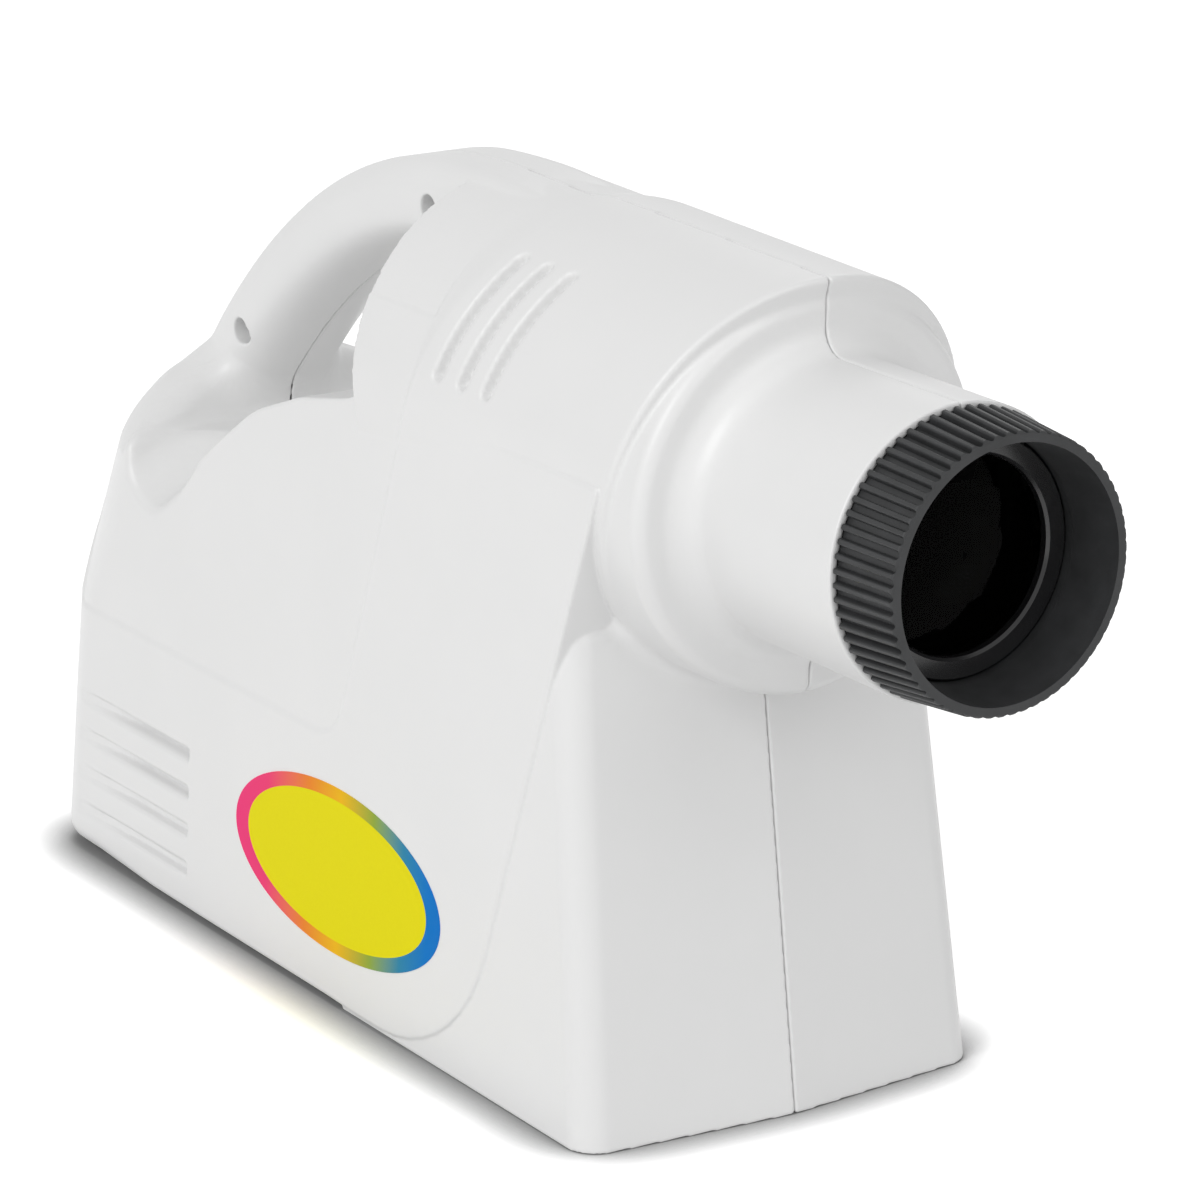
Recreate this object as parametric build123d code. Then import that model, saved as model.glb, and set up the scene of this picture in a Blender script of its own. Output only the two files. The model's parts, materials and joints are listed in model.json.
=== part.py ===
from build123d import *
import os
from math import atan, cos, degrees, radians, sin, sqrt, tan

# Opaque projector: a hollow hood that stands over the copy, a lens barrel across its
# top, a lamp house behind it and a carrying handle. All sizes are millimetres.
# The working frame has x = 0 at the foot of the front parting line, +X towards the
# screen, +Z up, and y = 0 in the parting plane. Parts are shifted along X on export,
# so that the stored origin is the middle of the whole part's footprint.

# ---- mouldings in general ----
wall = 2.5                   # thickness of the moulded shells
seam_gap = 0.2               # gap between the two shells at the parting plane
play = 0.3                   # clearance round fixed inner pieces
running_fit = 0.08           # radial clearance between turning or sliding tubes

# ---- hood ----
hood_width = 140.0           # across the foot
hood_depth = 139.0           # front foot to the step of the lamp house
hood_height = 152.0          # to the flat shoulder beside the barrel
front_lean = 8.5             # degrees the front leans back
side_lean = 2.8              # degrees each flank leans inwards
prow_angle = 4.9             # degrees each half of the front is swept back
hood_corner = 9.0            # radius of the two front corners
hood_shoulder = 7.0          # radius along the top of the hood

# ---- barrel, collar and nozzle, all about the lens axis ----
lens_axis_z = 187.7
barrel_radius = 61.5
barrel_z = 192.0             # centre of the barrel, a little above the lens axis
barrel_back_x = -145.5
lip_top_x = 9.7              # front lip of the barrel at its highest point
lip_lean = 15.5              # degrees the lip's plane overhangs
lip_sweep = 4.0              # degrees each half of the lip is swept back
collar_radius = 58.6
collar_top_x = 8.0           # collar's face at the barrel's top
collar_lean = 2.5
collar_sweep = 3.6
collar_edge = 3.5            # rounding of the collar's front edge
nozzle_radius = 42.3
nozzle_front_x = 69.0
nozzle_flare = 8.5           # hollow rounding between collar and nozzle

# ---- lamp house ----
house_length = 196.0         # behind the hood
house_step = 1.0             # how far its flanks stand proud of the hood
house_foot = 1.7             # height of its floor above the surface it stands on
house_recess = 0.8           # depth of the sunk field on each flank
house_front_slope = 17.25    # degrees of the slanted front edge of the flank panel
house_front_x = -18.6        # where that edge crosses the height of 179.3
house_front_z = 179.3
house_front_radius = 60.0    # lower front corner of the flank panel
waist_z = 90.0               # the rear wall is upright up to here
rear_corner_low = 22.0       # rear corner radius at the foot
rear_corner_waist = 30.0
rear_corner_mid = 45.0
rear_corner_top = 56.0
mid_z = 127.0
mid_pull = 4.0               # how far the rear wall has come forward at mid_z
crest_z = 161.6              # top of the rear shoulder
crest_pull = 14.0            # and at the crest
cheek_z = 190.0              # where the cheeks meet the back of the barrel

# ---- handle ----
handle_half_width = 20.5
handle_edge = 10.0           # rounding along its four long edges
handle_thickness = 28.5

# ---- vents ----
low_vent_count = 4
low_vent_height = 4.8
low_vent_pitch = 12.75
low_vent_z = 15.2            # centre of the lowest slot
low_vent_front_x = -239.0
low_vent_back_x = -312.0
high_vent_count = 3
high_vent_width = 6.0
high_vent_pitch = 12.6
high_vent_x = -90.3          # centre of the rearmost slot
high_vent_z = 242.4          # height at which their places are measured
high_vent_lean = 15.5        # degrees they lean with the lip
high_vent_from = 34.5        # degrees from the top of the barrel
high_vent_to = 77.0
vent_depth = 1.7
vent_slit = 1.2

# ---- focusing unit ----
ring_length = 23.3
ring_back_radius = 41.5      # over the crests of the grip
ring_front_radius = 39.5
ring_rounding = 1.0          # outer front edge
ring_mouth_radius = 36.4
ring_throat_radius = 35.0
ring_shoulder = 2.0          # from the ring's back face to its inner shoulder
ring_gap = 0.5               # between the nozzle's end and the ring
ring_rib_count = 64
groove_overrun = 0.6         # round end of the grooves past the front face
groove_section = [(0.85, -2.0), (1.1, -0.6), (1.3, -0.2), (1.75, 0.1), (1.75, 1.0)]
groove_half_width = 1.6      # at the crests
sleeve_length = 40.0         # part of the ring that runs inside the nozzle
sleeve_thickness = 1.9
guide_thickness = 2.0
guide_flange = 3.0
guide_back_x = 24.0
cell_front_x = 72.3
cell_nose_radius = 34.5
cell_nose_length = 11.3      # thinner front part that can enter the ring's throat
cell_length = 41.3
cell_bore = 32.3
cell_aperture = 28.3
cell_flange = 3.0
focus_back = 6.0             # travel of the lens cell from rest, backwards
focus_forward = 10.0         # and forwards
focus_turn_per_mm = 15.0     # degrees of ring turn for each millimetre of travel
pin_radius = 1.8
pin_x = 46.0
pin_tip_radius = 39.3        # how far the cam pins reach out from the lens axis
cam_pin_count = 3
lens_edge = 7.0              # thickness of each lens at its rim
lens_bulge = 2.4             # height of each curved face
lens_play = 0.1              # radial clearance of a lens in the cell
lens_rear_x = 41.0
spacer_thickness = 2.2

# ---- mirror ----
mirror_length = 112.0
mirror_top_width = 84.0
mirror_low_width = 106.0
mirror_thickness = 3.0
mirror_x = -71.0             # where the optical axis meets the mirror
carrier_thickness = 2.0
carrier_margin = 2.0         # how far the carrier stands out round the mirror
carrier_ear = 16.0           # height of the two ears that reach the flanks
clip_length = 12.0
clip_lip = 3.0
clip_sheet = 1.0

# ---- lamp ----
lamp_x = -232.0              # centre of the bulb
lamp_z = 78.0
bulb_radius = 30.0
bulb_neck_radius = 12.5
bulb_glass = 0.8
cap_radius = 13.0
cap_length = 26.0
socket_radius = 19.0
socket_bore = 14.0
socket_length = 36.0
socket_floor = 8.0
bracket_thickness = 2.0
bracket_length = 60.0
bracket_width = 44.0
bracket_screw_y = 16.0
bracket_screw_x = 24.0       # ahead of and behind the bulb's centre line
reflector_radius = 44.0      # inside of its curved sheet
reflector_thickness = 0.8
reflector_half_width = 45.0
reflector_from = 55.0        # degrees above the horizontal, on the hood's side
reflector_to = 150.0
shield_thickness = 1.2
shield_front_x = -190.0
shield_back_x = -292.0
baffle_x = -151.0
baffle_thickness = 1.2
baffle_low_z = 100.0
baffle_high_z = 168.0

# ---- rear door, switch and inlet ----
door_half_width = 26.0
door_low_z = 28.0
door_high_z = 100.0
door_gap = 0.5
hinge_radius = 2.2           # round lower edge of the door
hinge_pin_radius = 1.2
hinge_ear = 3.0
pull_half_width = 9.0
pull_height = 5.0
pull_reach = 5.0
switch_half_width = 6.3
switch_half_height = 9.8
switch_depth = 12.0
switch_flange = 1.2
switch_flange_thickness = 1.6
switch_wall = 1.5
switch_y = 36.0
switch_z = 32.0
rocker_pivot = 2.6           # how far the rocker's pivot lies in front of the wall's inside
rocker_tilt = 8.0
gland_flange_radius = 8.0
gland_flange_thickness = 3.0
gland_radius = 6.5
gland_bore = 3.7
gland_length = 14.0
gland_nut_radius = 9.0
gland_nut_thickness = 4.0
gland_y = -36.0
gland_z = 55.0

# ---- fasteners, base frame, feet and label ----
screw_head_radius = 3.6
screw_head_height = 2.6
screw_shank_radius = 1.75
screw_hole_play = 0.1
screw_well_radius = 4.2
screw_recess = 1.3
boss_radius = 6.2
screw_seat_y = 9.0           # where the heads of the long screws seat
screw_length = 22.0
bracket_screw_length = 5.5
handle_screw_places = [(-287.0, 176.0), (-170.0, 239.0)]
house_screw_places = [(-322.0, 14.0), (-322.0, 132.0), (-170.0, 14.0)]
frame_low_z = 1.0
frame_high_z = 4.0
window_half = 63.5           # half of the five inch copy window
foot_radius = 7.0
foot_stud_radius = 2.5
foot_stud_height = 5.5
foot_inset = 22.0
foot_y = 44.0
label_half_length = 61.0
label_half_height = 26.3
label_x = -146.2
label_z = 43.5
label_thickness = 0.2

# ---- sizes that follow ----
lean_run = tan(radians(front_lean))
flank_run = tan(radians(side_lean))
prow_run = tan(radians(prow_angle))
house_run = tan(radians(house_front_slope))
rear_x = -hood_depth - house_length
house_half_width = hood_width / 2 + house_step
ring_back_x = nozzle_front_x + ring_gap
ring_front_x = ring_back_x + ring_length
part_middle_x = (ring_front_x + rear_x) / 2
nozzle_bore = nozzle_radius - wall
sleeve_radius = nozzle_bore - running_fit
sleeve_bore = sleeve_radius - sleeve_thickness
guide_radius = sleeve_bore - running_fit
guide_bore = guide_radius - guide_thickness
cell_radius = guide_bore - running_fit
shield_z = lamp_z + reflector_radius + reflector_thickness
door_axis_x = rear_x + hinge_radius
door_axis_z = door_low_z + hinge_radius
rocker_x = rear_x - switch_flange_thickness + rocker_pivot
far = 400.0                  # longer than anything here


def flat(points, z):
    """Plane figure through plan points at one height."""
    return make_face(Polyline([(x, y, z) for x, y in points], close=True))


def side_figure(points, radii=None):
    """Figure in the XZ plane, with each corner rounded by its own radius."""
    outline = Polyline([(x, 0, z) for x, z in points], close=True)
    if radii is not None:
        outline = FilletPolyline([(x, 0, z) for x, z in points], radius=radii, close=True)
    return make_face(outline)


def across(figure, half_width):
    """Solid made by pushing an XZ figure to both sides of the parting plane."""
    return extrude(figure, amount=half_width, dir=(0, 1, 0), both=True)


def on_axis(x_from, x_to, radius):
    """Round bar along the lens axis."""
    bar = Cylinder(radius, x_to - x_from, align=(Align.CENTER, Align.CENTER, Align.MIN))
    return Pos(x_from, 0, lens_axis_z) * Rot(0, 90, 0) * bar


def turned(profile):
    """Solid of revolution about the lens axis from (x, radius) points."""
    figure = make_face(Polyline([(x, 0, lens_axis_z + r) for x, r in profile], close=True))
    return revolve(figure, Axis((0, 0, lens_axis_z), (1, 0, 0)), 360)


def crossbar(x, z, radius, y_from, y_to):
    """Round bar along Y."""
    return Pos(x, (y_from + y_to) / 2, z) * Rot(90, 0, 0) * Cylinder(radius, abs(y_to - y_from))


def block(x0, x1, y0, y1, z0, z1):
    """Box between two corners."""
    return Pos((x0 + x1) / 2, (y0 + y1) / 2, (z0 + z1) / 2) * Box(
        abs(x1 - x0), abs(y1 - y0), abs(z1 - z0))


def near_half():
    """Everything on the -Y side of the parting plane."""
    return block(-far, far, -far, -seam_gap / 2, -far, far)


def far_half():
    """Everything on the +Y side of the parting plane."""
    return block(-far, far, seam_gap / 2, far, -far, far)


def swept_front(top_x, lean, sweep, inset):
    """Everything behind a front plane that leans forward and is swept back towards -Y."""
    levels = []
    for z in (0, far):
        nose = top_x - (barrel_z + barrel_radius - z) * tan(radians(lean)) - inset
        run = far / 2 * tan(radians(sweep))
        levels.append(flat([(nose + run, far / 2), (-far, far / 2),
                            (-far, -far / 2), (nose - run, -far / 2)], z))
    return loft(levels, ruled=True)


def both_sides(solid):
    """The -Y half of a solid together with its mirror image."""
    half = solid & block(-far, far, -far, 0, -far, far)
    return half + mirror(half, Plane.XZ)


def hood_block(inset, z0):
    """The hood's box, with rounded front corners and a rounded shoulder."""
    z1 = hood_height - inset
    back = -hood_depth - wall + inset
    levels = []
    for z in (z0, z1):
        half = hood_width / 2 - z * flank_run - inset
        nose = -z * lean_run - inset
        shoulder = nose - half * prow_run
        levels.append(flat([(nose, 0), (shoulder, half), (back, half),
                            (back, -half), (shoulder, -half)], z))
    solid = loft(levels, ruled=True)
    corners = [e for e in solid.edges()
               if abs(e.center().Y) > hood_width / 4 and e.center().X > -hood_depth / 2
               and abs(e.center().Z - (z0 + z1) / 2) < 1.0]
    solid = fillet(corners, hood_corner - inset)
    rim = [e for e in solid.edges()
           if abs(e.center().Z - z1) < 0.01 and e.center().X > back + 1.0]
    return fillet(rim, hood_shoulder - inset)


def barrel_block(inset):
    """The barrel, cut off in front by the leaning lip plane."""
    bar = Pos(0, 0, barrel_z - lens_axis_z) * on_axis(barrel_back_x + inset, far / 4,
                                                      barrel_radius - inset)
    return both_sides(bar & swept_front(lip_top_x, lip_lean, lip_sweep, inset))


def collar_block(inset):
    """Round collar in front of the barrel, flaring into the nozzle."""
    big = collar_radius - inset
    small = nozzle_radius - inset
    disc = on_axis(barrel_back_x / 3, far / 8, big)
    disc &= swept_front(collar_top_x, collar_lean, collar_sweep, inset)
    solid = disc + on_axis(barrel_back_x / 4, nozzle_front_x + 3 * inset, small)
    rings = [(e, max(distance_to_lens_axis(e @ t) for t in (0.1, 0.35, 0.6)))
             for e in solid.edges() if abs(e.center().X) < 15]
    solid = fillet([e for e, r in rings if abs(r - small) < 0.05], nozzle_flare + inset)
    rings = [(e, max(distance_to_lens_axis(e @ t) for t in (0.1, 0.35, 0.6)))
             for e in solid.edges() if abs(e.center().X) < 15]
    outer_edge = [e for e, r in rings if abs(r - big) < 0.05]
    solid = fillet(outer_edge, collar_edge - min(inset, collar_edge - 0.5))
    return both_sides(solid)


def distance_to_lens_axis(point):
    """Radius of a point about the lens axis."""
    return sqrt(point.Y ** 2 + (point.Z - lens_axis_z) ** 2)


def house_outline(inset):
    """Side view of the lamp house: foot, slanted front, cheeks and rear shoulder."""
    top_z = barrel_z + barrel_radius * sin(radians(side_lean))
    front_top_x = house_front_x + (top_z - house_front_z) * house_run
    front_foot_x = house_front_x - (house_front_z - house_foot) * house_run
    points = [(rear_x, house_foot), (front_foot_x, house_foot), (front_top_x, top_z),
              (barrel_back_x + 12, top_z), (barrel_back_x - 6, cheek_z - 5),
              (-180, 183.5), (-207, 173), (-240, 152.5), (-262, 151.0), (-298, 156.5),
              (rear_x + crest_pull, crest_z), (rear_x + mid_pull, mid_z), (rear_x, waist_z)]
    radii = [12, house_front_radius, 1, 4, 12, 40, 40, 45, 25, 40, 13, 60, 60]
    figure = side_figure(points, radii)
    if inset > 0:
        figure = offset(figure, -inset)
    return figure


def house_plan(inset, z, pull, corner):
    """Plan of the lamp house at one height, with rounded rear corners."""
    half = house_half_width - z * flank_run - inset
    back = rear_x + pull + inset
    outline = FilletPolyline([(0, half, z), (back, half, z), (back, -half, z), (0, -half, z)],
                             radius=corner - inset)
    return make_face([*outline.edges(), *Line((0, -half, z), (0, half, z)).edges()])


def house_block(inset):
    """The lamp house: its side view pushed across, limited by the leaning plan."""
    levels = [house_plan(inset, 0, 0, rear_corner_low),
              house_plan(inset, waist_z, 0, rear_corner_waist),
              house_plan(inset, mid_z, mid_pull, rear_corner_mid),
              house_plan(inset, crest_z, crest_pull, rear_corner_top),
              house_plan(inset, 200, 3 * crest_pull, rear_corner_top)]
    envelope = loft(levels, ruled=True)
    solid = across(house_outline(inset), house_half_width + 5) & envelope
    for side in (-1, 1):
        solid -= thumb_scoop(side, inset)
    return solid


def thumb_scoop(side, inset):
    """Hollow that rises from the flank to the foot of the handle."""
    reach_y = house_half_width - crest_z * flank_run
    rise = 0.571
    points = [(-232, 165), (-250, 139.5), (-269, 126.5), (-283, 133), (-290, 156), (-300, 240),
              (-232, 240)]
    figure = side_figure(points, [20, 20, 13, 12, 30, 5, 5])
    if inset > 0:
        figure = offset(figure, inset)
    start_y = reach_y + 15
    figure = Pos(0, side * start_y, -15 * rise) * figure
    length = start_y - handle_half_width + 8
    return extrude(figure, amount=length * sqrt(1 + rise * rise),
                   dir=(0, -side / sqrt(1 + rise * rise), rise / sqrt(1 + rise * rise)))


def handle_spine():
    """Middle line of the handle, from inside the shoulder to inside the barrel."""
    top = barrel_z + barrel_radius - handle_thickness / 2
    points = [(-314, 0, 147), (-307, 0, 156.5), (-287, 0, 179.5), (-259.5, 0, 204),
              (-226, 0, 224.7), (-189.5, 0, 237), (-157, 0, top), (-118, 0, top)]
    return FilletPolyline(points, radius=[60, 90, 90, 90, 90, 90])


def handle_block(inset):
    """The handle: a rounded bar swept along its spine."""
    spine = handle_spine()
    start = Plane(origin=spine @ 0, x_dir=(0, 1, 0), z_dir=spine % 0)
    section = RectangleRounded(2 * (handle_half_width - inset), handle_thickness - 2 * inset,
                               handle_edge - inset)
    return sweep(start * section, path=spine)


def flank_plate(side, proud, thickness, x0, x1, z0, z1):
    """Upright box laid against a leaning flank, 'proud' outside the hood's plane."""
    outer = hood_width / 2 + proud
    figure = make_face(Polyline([
        (x0, side * (outer - z0 * flank_run), z0), (x0, side * (outer - z1 * flank_run), z1),
        (x0, side * (outer - thickness - z1 * flank_run), z1),
        (x0, side * (outer - thickness - z0 * flank_run), z0)], close=True))
    return extrude(figure, amount=x1 - x0, dir=(1, 0, 0))


def sunk_field(side):
    """Shallow recess over the rear of each flank, running on over the barrel."""
    figure = side_figure([(rear_x + 17, 84), (-150, 84), (-141, 113), (-121.5, 178),
                          (-113.5, 202), (-105, 229), (-100, 245), (-100, 260),
                          (rear_x + 17, 260)], [1, 15, 60, 60, 60, 60, 10, 1, 1])
    low = flank_plate(side, house_step + 1, house_recess + 1, rear_x - 5, 0, 60, barrel_z + 3)
    ring = on_axis(barrel_back_x, 0, barrel_radius + 1) - on_axis(barrel_back_x, 0,
                                                                  barrel_radius - house_recess)
    high = Pos(0, 0, barrel_z - lens_axis_z) * ring
    high &= block(-far, far, 0, side * far, barrel_z + 3, far)
    high -= handle_block(0)
    return [across(figure, far / 4) & low, across(figure, far / 4) & high]


def long_slot(side, x0, x1, z, height, depth):
    """Round-ended slot sunk into a flank to a given depth."""
    face = Plane.XZ * Pos((x0 + x1) / 2, z) * SlotOverall(x1 - x0, height)
    plate = flank_plate(side, house_step + 1, depth + 1, x0 - 1, x1 + 1, z - height, z + height)
    return extrude(face, amount=far / 4, both=True) & plate


def low_vents(side):
    """Lower louvres: shallow slots with a narrow opening along the top of each."""
    cuts = []
    for k in range(low_vent_count):
        z = low_vent_z + k * low_vent_pitch
        cuts.append(long_slot(side, low_vent_back_x, low_vent_front_x, z,
                              low_vent_height, vent_depth))
        cuts.append(long_slot(side, low_vent_back_x + 3, low_vent_front_x - 3,
                              z + (low_vent_height - vent_slit) / 2 - 0.4, vent_slit, 2 * wall))
    return cuts


def sector(x0, x1, first, last):
    """Wedge between two angles from the top, about the barrel's middle line."""
    reach = 2 * barrel_radius
    corners = [(x0, 0, barrel_z)]
    for share, stretch in ((0, 1), (0.5, 1.2), (1, 1)):
        turn = radians(first + share * (last - first))
        corners.append((x0, -reach * stretch * sin(turn), barrel_z + reach * stretch * cos(turn)))
    return extrude(make_face(Polyline(corners, close=True)), amount=x1 - x0, dir=(1, 0, 0))


def high_vents(side):
    """Upper louvres: three slots bent round the barrel and leaning with its lip."""
    cuts = []
    raised = Pos(0, 0, barrel_z - lens_axis_z)
    for k in range(high_vent_count):
        x = high_vent_x + k * high_vent_pitch
        half = high_vent_width / 2
        for depth, x0, x1, trim in ((vent_depth, x - half, x + half, 0),
                                    (2 * wall, x + half - vent_slit, x + half, 3)):
            ring = on_axis(x0, x1, barrel_radius + 2) - on_axis(x0, x1, barrel_radius - depth)
            cut = (raised * ring) & sector(x0, x1, high_vent_from + trim, high_vent_to - trim)
            cut = Pos(x, 0, high_vent_z) * Rot(0, high_vent_lean, 0) * Pos(-x, 0, -high_vent_z) * cut
            cuts.append(cut if side < 0 else mirror(cut, Plane.XZ))
    return cuts


def outer_form():
    """The projector's whole outside as one solid."""
    form = hood_block(0, 0) + barrel_block(0) + collar_block(0) + house_block(0)
    form += handle_block(0)
    return form


def inner_space():
    """The hollow inside the shells, one wall thickness in from the outside."""
    space = hood_block(wall, -5) + barrel_block(wall) + collar_block(wall) + house_block(wall)
    return space + handle_block(wall)


def screw_places():
    """Places of the long screws that join the two shells, with the side each goes in from."""
    places = [(x, z, -1) for x, z in handle_screw_places]
    return places + [(x, z, 1) for x, z in house_screw_places]


def largest(shape):
    """The biggest solid of a result."""
    return max(shape.solids(), key=lambda solid: solid.volume)


def wall_openings():
    """Everything cut through the walls besides the vents."""
    cuts = []
    for side in (-1, 1):
        cuts.append(upright(rear_x + foot_inset, side * foot_y, 0, 4 * wall, foot_stud_radius))
        for x in (lamp_x - bracket_screw_x, lamp_x + bracket_screw_x):
            cuts.append(upright(x, side * bracket_screw_y, 0, 4 * wall,
                                screw_shank_radius + screw_hole_play))
    cuts.append(block(rear_x - 1, rear_x + 5, -door_half_width - door_gap,
                      door_half_width + door_gap, door_low_z - door_gap, door_high_z + door_gap))
    cuts.append(crossbar(door_axis_x, door_axis_z, hinge_pin_radius,
                         -door_half_width - hinge_ear, door_half_width + hinge_ear))
    cuts.append(block(rear_x - 1, rear_x + 5, switch_y - switch_half_width,
                      switch_y + switch_half_width, switch_z - switch_half_height,
                      switch_z + switch_half_height))
    cuts.append(rear_bar(gland_y, gland_z, -1, 5, gland_radius))
    cuts.append(rear_bar(gland_y, gland_z, wall, 5, gland_nut_radius + play))
    return cuts


def house_shell(form, space, side):
    """One shell: its half of the walls with bosses, vents and openings."""
    half = near_half() if side < 0 else far_half()
    shell = largest((form - space) & half)
    for x, z, entry in screw_places():
        shell += crossbar(x, z, boss_radius, -far / 4, far / 4) & form & half
    ear = block(rear_x, rear_x + 6, side * (door_half_width + door_gap),
                side * (door_half_width + door_gap + hinge_ear), door_axis_z - 4, door_axis_z + 4)
    shell = largest(shell + ear)
    for x, z, entry in screw_places():
        shell -= crossbar(x, z, screw_shank_radius + screw_hole_play,
                          entry * (screw_seat_y - screw_length - 1), entry * screw_seat_y)
        if side == entry:
            shell -= crossbar(x, z, screw_well_radius, entry * screw_seat_y, entry * far / 4)
    for cut in sunk_field(side) + low_vents(side) + high_vents(side) + wall_openings():
        shell = largest(shell - cut)
    return shell


def rear_bar(y, z, from_wall, to_wall, radius):
    """Round bar square to the rear wall, measured forward from its outside."""
    bar = Cylinder(radius, to_wall - from_wall, align=(Align.CENTER, Align.CENTER, Align.MIN))
    return Pos(rear_x + from_wall, y, z) * Rot(0, 90, 0) * bar


def lying(turn, radius, length):
    """Short bar that stands out from the lens axis at one angle, at the pins' place."""
    bar = Cylinder(radius, length, align=(Align.CENTER, Align.CENTER, Align.MIN))
    return Pos(pin_x, 0, lens_axis_z) * Rot(turn, 0, 0) * bar


def pin_turns():
    """Angles of the cam pins about the lens axis, measured from the top."""
    return [360 / cam_pin_count * k for k in range(cam_pin_count)]


def grip_groove():
    """Cutter of one groove, drawn from the back of the crest line: sloping sides, round end."""
    end = ring_length + groove_overrun - groove_half_width
    outline = [(-1, -y, z) for y, z in reversed(groove_section)]
    outline += [(-1, y, z) for y, z in groove_section]
    channel = extrude(make_face(Polyline(outline, close=True)), end + 1, dir=(1, 0, 0))
    figure = [(end, 0, groove_section[0][1])] + [(end + y, 0, z) for y, z in groove_section]
    figure.append((end, 0, groove_section[-1][1]))
    bowl = revolve(make_face(Polyline(figure, close=True)), Axis((end, 0, 0), (0, 0, 1)), 360)
    return channel + bowl


def focus_ring():
    """Grip ring with its sleeve and helical slots."""
    front = ring_front_x
    shoulder = ring_back_x + ring_shoulder
    sleeve_back = ring_back_x - sleeve_length
    ring = turned([(sleeve_back, sleeve_bore), (sleeve_back, sleeve_radius),
                   (ring_back_x, sleeve_radius), (ring_back_x, ring_back_radius),
                   (front, ring_front_radius), (front, ring_mouth_radius),
                   (shoulder + 3, ring_throat_radius), (shoulder, ring_throat_radius),
                   (shoulder, sleeve_bore)])
    rims = ring.edges().filter_by(lambda edge: abs(edge.center().X - front) < 0.1)
    rims = rims.sort_by(lambda edge: edge.length)
    ring = fillet(rims[-1], ring_rounding)
    slope = degrees(atan((ring_back_radius - ring_front_radius) / ring_length))
    tool = Pos(ring_back_x, 0, ring_back_radius) * Rot(0, slope, 0) * grip_groove()
    middle = Pos(0, 0, lens_axis_z)
    grooves = [middle * Rot(360 / ring_rib_count * k, 0, 0) * tool
               for k in range(ring_rib_count)]
    slots = [helical_slot(turn) for turn in pin_turns()]
    return ring - grooves - slots


def helical_slot(turn):
    """Slot in the sleeve that drives one pin along the axis as the ring turns."""
    middle = sleeve_radius - sleeve_thickness / 2
    lead = 360 / focus_turn_per_mm
    over = 1.0 / focus_turn_per_mm * 5
    length = focus_back + focus_forward + 2 * over
    path = Helix(pitch=lead, height=length, radius=middle, lefthand=True)
    start = Plane(origin=path @ 0, x_dir=(1, 0, 0), z_dir=path % 0)
    section = Rectangle(3 * sleeve_thickness, 2 * (pin_radius + play))
    cut = sweep(start * section, path=path, is_frenet=True)
    first_turn = turn + focus_turn_per_mm * (focus_back + over) + 180
    return (Pos(pin_x - focus_back - over, 0, lens_axis_z) * Rot(first_turn, 0, 0)
            * Rot(0, 90, 0) * cut)


def guide_tube():
    """Fixed tube with straight slots that keep the lens cell from turning."""
    front = ring_back_x + ring_shoulder - ring_gap
    tube = turned([(guide_back_x, guide_bore), (guide_back_x, nozzle_bore),
                   (guide_back_x + guide_flange, nozzle_bore),
                   (guide_back_x + guide_flange, guide_radius), (front, guide_radius),
                   (front, guide_bore)])
    half = pin_radius + running_fit
    for turn in pin_turns():
        slot = block(pin_x - focus_back, pin_x + focus_forward, -half, half,
                     guide_bore - 2, guide_radius + 1)
        for x in (pin_x - focus_back, pin_x + focus_forward):
            slot += Pos(x, 0, guide_bore) * Cylinder(half, 4 * guide_thickness)
        tube -= Pos(0, 0, lens_axis_z) * Rot(turn, 0, 0) * slot
    return tube


def lens_cell():
    """Sliding barrel that carries the lenses."""
    back = cell_front_x - cell_length
    nose = cell_front_x - cell_nose_length
    cell = turned([(back, cell_bore), (back, cell_radius), (nose - 1, cell_radius),
                   (nose, cell_nose_radius), (cell_front_x - 0.5, cell_nose_radius),
                   (cell_front_x, cell_nose_radius - 0.5), (cell_front_x, cell_aperture + 0.8),
                   (cell_front_x - 0.8, cell_aperture),
                   (cell_front_x - cell_flange, cell_aperture),
                   (cell_front_x - cell_flange, cell_bore)])
    return cell - [lying(turn, pin_radius, pin_tip_radius) for turn in pin_turns()]


def cam_pin(turn):
    """Pin pressed into the lens cell, reaching through both slots."""
    pin = lying(turn, pin_radius, pin_tip_radius)
    return pin - on_axis(pin_x - far / 8, pin_x + far / 8, cell_bore + 0.2)


def lens(back_x, front_bulge, back_bulge):
    """Round glass with a flat rim and two curved faces."""
    rim = cell_bore - lens_play
    clear = cell_aperture - 0.5
    profile = [(back_x, rim), (back_x, clear)]
    for share in (0.75, 0.5, 0.25, 0):
        profile.append((back_x - back_bulge * (1 - share * share), clear * share))
    for share in (0, 0.25, 0.5, 0.75):
        profile.append((back_x + lens_edge + front_bulge * (1 - share * share), clear * share))
    profile += [(back_x + lens_edge, clear), (back_x + lens_edge, rim)]
    return turned(profile)


def tube_on_axis(x0, x1, radius, bore):
    """Plain tube along the lens axis."""
    return on_axis(x0, x1, radius) - on_axis(x0 - 1, x1 + 1, bore)


def on_mirror(solid):
    """Moves a solid drawn flat on z = 0 to the mirror's reflecting face."""
    return Pos(mirror_x, 0, lens_axis_z) * Rot(0, -45, 0) * solid


def trapezoid(margin, thickness, level):
    """Plate with the mirror's outline; +x is its upper end, thickness upwards."""
    half = mirror_length / 2 + margin
    top = mirror_top_width / 2 + margin
    low = mirror_low_width / 2 + margin
    face = make_face(Polyline([(half, -top, level), (half, top, level),
                               (-half, low, level), (-half, -low, level)], close=True))
    return extrude(face, amount=thickness, dir=(0, 0, 1))


def mirror_glass():
    """First-surface mirror."""
    return on_mirror(trapezoid(0, mirror_thickness, 0))


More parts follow.
